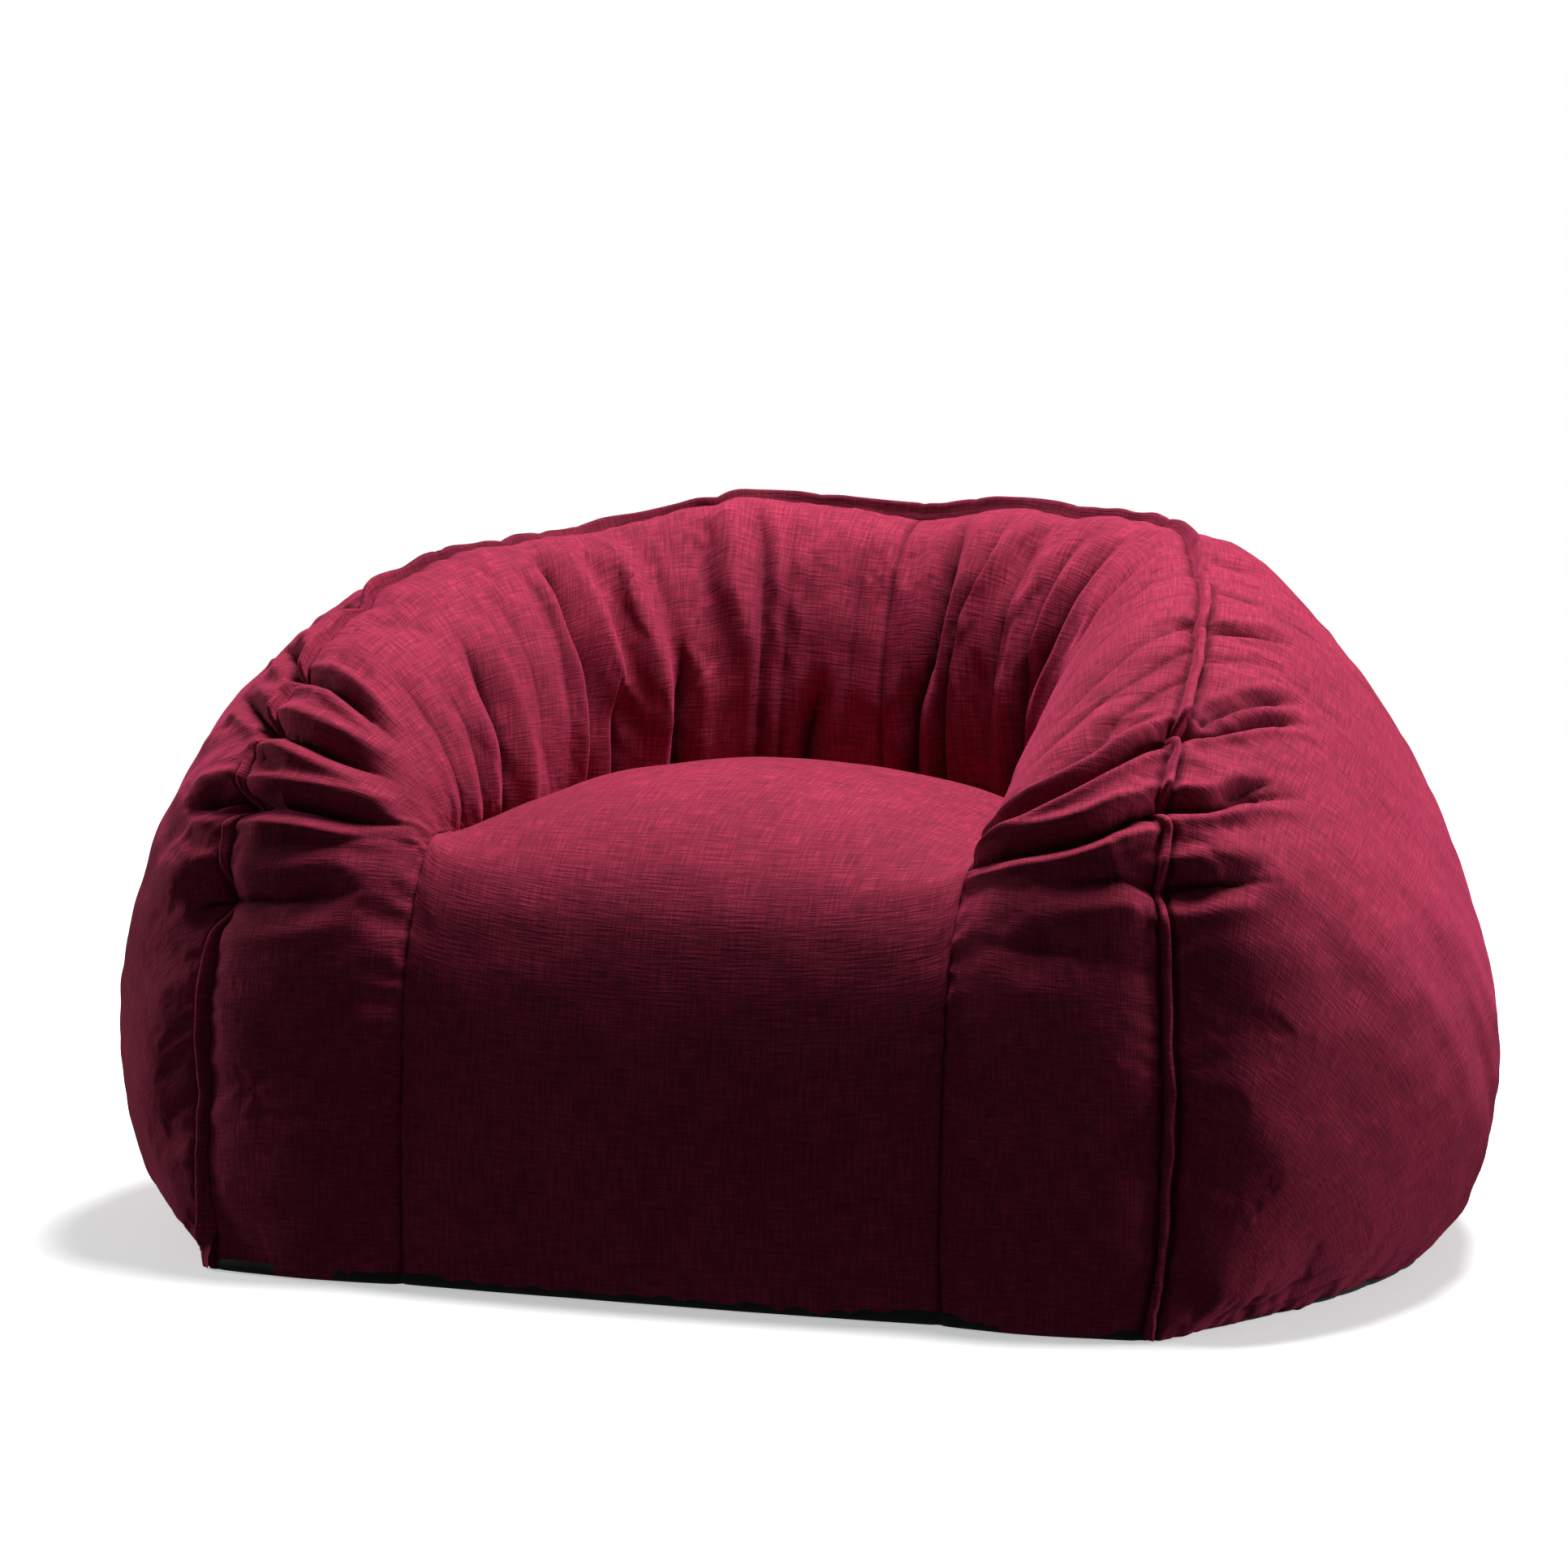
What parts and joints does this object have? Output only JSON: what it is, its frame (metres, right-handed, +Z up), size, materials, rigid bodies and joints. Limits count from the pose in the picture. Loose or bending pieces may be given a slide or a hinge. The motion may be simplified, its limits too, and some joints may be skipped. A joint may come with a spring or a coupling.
{
  "type": "bean bag chair",
  "caption": "Low upholstered bean bag armchair with a domed seat, gathered wrap-round arms and back, raised rim seam, zipped cover and two bead-filled liners.",
  "frame": {"origin": "on the floor, in the middle of the whole part's outline", "axes": "+Z up; the seat opens towards -Y and the back is at +Y; +X is to the right of someone looking at the front"},
  "size_m": [1.2546, 0.9523, 0.649],
  "materials": {
    "chenille": "ribbed chenille pile with a soft sheen, crimson",
    "base_cloth": "plain woven base cloth, near black",
    "lining_cloth": "plain woven polyester lining, off-white",
    "bead_filling": "expanded polystyrene beads, matt white",
    "zip_tape": "woven zip tape, dark red",
    "zip_teeth": "nylon coil teeth, dark red",
    "zip_metal": "dark enamelled die casting",
    "lining_zip": "white zip tape and coil",
    "lining_zip_metal": "pale enamelled die casting without a tab",
    "label_cloth": "blank satin care label"
  },
  "bodies": {
    "bag": {"base_panel": "base_cloth", "seat_front_panel": "chenille", "inner_band_left": "chenille", "inner_band_right": "chenille", "outer_side_left": "chenille", "outer_side_right": "chenille", "outer_back": "chenille", "rim_welt": "chenille", "partition_wall": "lining_cloth", "zip_tape_upper": "zip_tape", "zip_tape_lower": "zip_tape", "zip_teeth_upper": "zip_teeth", "zip_teeth_lower": "zip_teeth", "zip_stops": "zip_metal", "care_label": "label_cloth", "seat_liner": "lining_cloth", "back_liner": "lining_cloth", "seat_fill": "bead_filling", "back_fill": "bead_filling", "seat_liner_zip_tape": "lining_zip", "seat_liner_zip_teeth": "lining_zip", "back_liner_zip_tape": "lining_zip", "back_liner_zip_teeth": "lining_zip"},
    "zip_slider_body": {"zip_slider": "zip_metal"},
    "zip_pull_body": {"zip_pull": "zip_metal"},
    "seat_liner_slider": {"seat_liner_zip_slider": "lining_zip_metal"},
    "back_liner_slider": {"back_liner_zip_slider": "lining_zip_metal"}
  },
  "joints": [
    {"name": "zip_slider_travel", "type": "hinge", "parent": "bag", "child": "zip_slider_body", "pos_m": [0, -0.148, 0.042], "axis": [0, 0, 1], "range_deg": [0, 85]},
    {"name": "zip_pull_swing", "type": "hinge", "parent": "zip_slider_body", "child": "zip_pull_body", "pos_m": [0.40244, 0.28965, 0.03995], "axis": [0.7361, -0.6769, 0], "range_deg": [-20, 130]},
    {"name": "seat_liner_zip_travel", "type": "slide", "parent": "bag", "child": "seat_liner_slider", "axis": [1, 0, 0], "range_m": [0, 0.38]},
    {"name": "back_liner_zip_travel", "type": "slide", "parent": "bag", "child": "back_liner_slider", "axis": [1, 0, 0], "range_m": [0, 0.38]}
  ]
}
